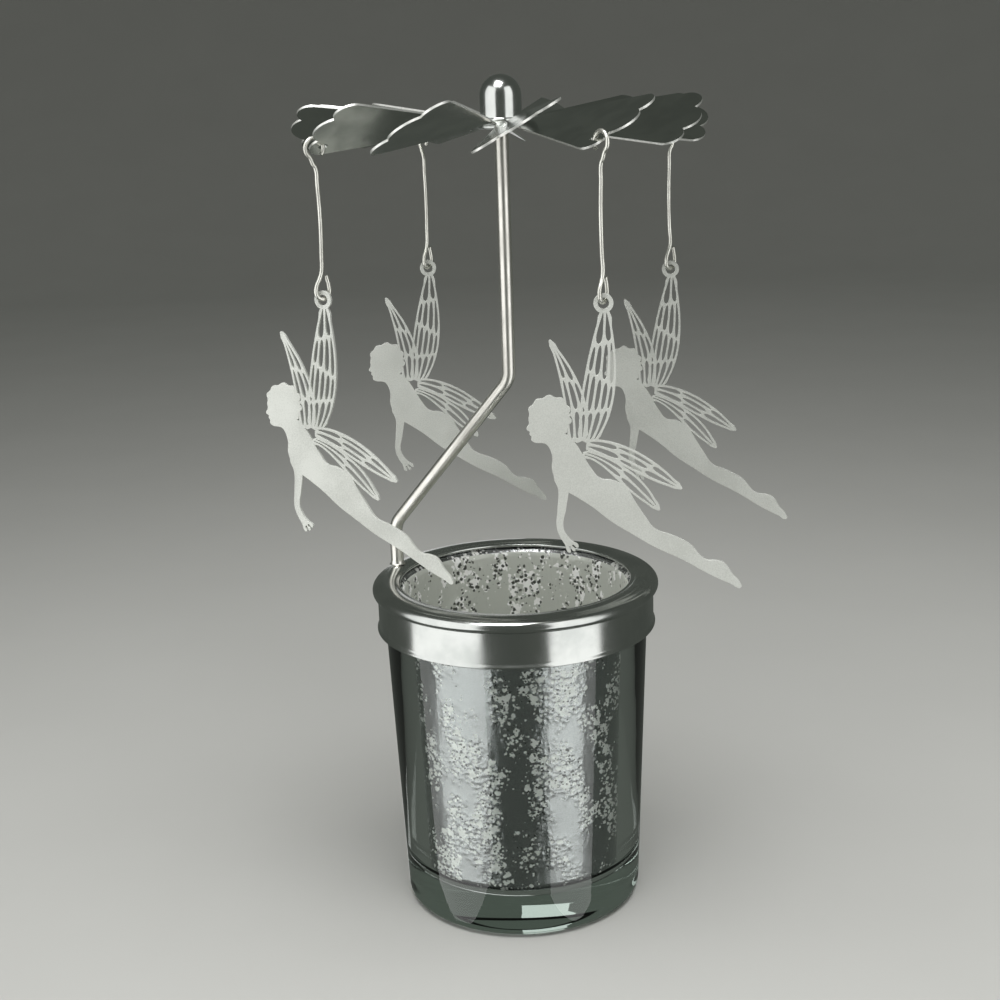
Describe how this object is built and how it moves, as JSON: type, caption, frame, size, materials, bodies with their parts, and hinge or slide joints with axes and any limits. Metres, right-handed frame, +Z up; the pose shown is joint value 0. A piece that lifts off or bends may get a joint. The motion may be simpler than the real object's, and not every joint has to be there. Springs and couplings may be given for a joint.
{
  "type": "rotating candle holder",
  "caption": "Glass votive cup with a plated collar and cranked needle post, on which a bladed fan turns in the candle's heat and carries hanging fairy plates.",
  "frame": {"origin": "centre of the cup's flat base", "axes": "+Z up along the cup's axis, -Y towards the viewer of the front, +X to the viewer's right"},
  "size_m": [0.1028, 0.0776, 0.1642],
  "materials": {
    "cup_glass": "clear pressed glass, lined with a speckled silver film",
    "plated_steel": "bright plated",
    "polished_sheet": "polished stamped sheet",
    "bright_wire": "bright wire",
    "etched_steel": "matte etched sheet"
  },
  "bodies": {
    "cup": {"glass_cup": "cup_glass"},
    "stand": {"collar": "plated_steel", "post": "plated_steel"},
    "rotor": {"fan": "polished_sheet", "pivot_cap": "plated_steel", "cap_washer": "plated_steel"},
    "hung_wire_1": {"hanger_1": "bright_wire"},
    "hung_fairy_1": {"fairy_1": "etched_steel"},
    "hung_wire_2": {"hanger_2": "bright_wire"},
    "hung_fairy_2": {"fairy_2": "etched_steel"},
    "hung_wire_3": {"hanger_3": "bright_wire"},
    "hung_fairy_3": {"fairy_3": "etched_steel"},
    "hung_wire_4": {"hanger_4": "bright_wire"},
    "hung_fairy_4": {"fairy_4": "etched_steel"}
  },
  "joints": [
    {"name": "collar_lift", "type": "slide", "parent": "cup", "child": "stand", "axis": [0, 0, 1], "range_m": [0, 0.03]},
    {"name": "fan_spin", "type": "hinge", "parent": "stand", "child": "rotor", "pos_m": [0, 0, 0.16134], "axis": [0, 0, 1], "continuous": true},
    {"name": "hanger_1_swing", "type": "hinge", "parent": "rotor", "child": "hung_wire_1", "pos_m": [-0.03329, -0.01616, 0.15232], "axis": [-0.5519, 0.8339, 0], "range_deg": [-10, 35]},
    {"name": "fairy_1_swing", "type": "hinge", "parent": "hung_wire_1", "child": "hung_fairy_1", "pos_m": [-0.03329, -0.01616, 0.12557], "axis": [-0.4067, -0.9135, 0], "range_deg": [-25, 25]},
    {"name": "hanger_2_swing", "type": "hinge", "parent": "rotor", "child": "hung_wire_2", "pos_m": [0.01616, -0.03329, 0.15232], "axis": [-0.8339, -0.5519, 0], "range_deg": [-10, 35]},
    {"name": "fairy_2_swing", "type": "hinge", "parent": "hung_wire_2", "child": "hung_fairy_2", "pos_m": [0.01616, -0.03329, 0.12557], "axis": [0, -1, 0], "range_deg": [-25, 25]},
    {"name": "hanger_3_swing", "type": "hinge", "parent": "rotor", "child": "hung_wire_3", "pos_m": [0.03329, 0.01616, 0.15232], "axis": [0.5519, -0.8339, 0], "range_deg": [-10, 35]},
    {"name": "fairy_3_swing", "type": "hinge", "parent": "hung_wire_3", "child": "hung_fairy_3", "pos_m": [0.03329, 0.01616, 0.12557], "axis": [-0.2079, -0.9781, 0], "range_deg": [-25, 25]},
    {"name": "hanger_4_swing", "type": "hinge", "parent": "rotor", "child": "hung_wire_4", "pos_m": [-0.01616, 0.03329, 0.15232], "axis": [0.8339, 0.5519, 0], "range_deg": [-10, 35]},
    {"name": "fairy_4_swing", "type": "hinge", "parent": "hung_wire_4", "child": "hung_fairy_4", "pos_m": [-0.01616, 0.03329, 0.12557], "axis": [0, -1, 0], "range_deg": [-25, 25]}
  ]
}
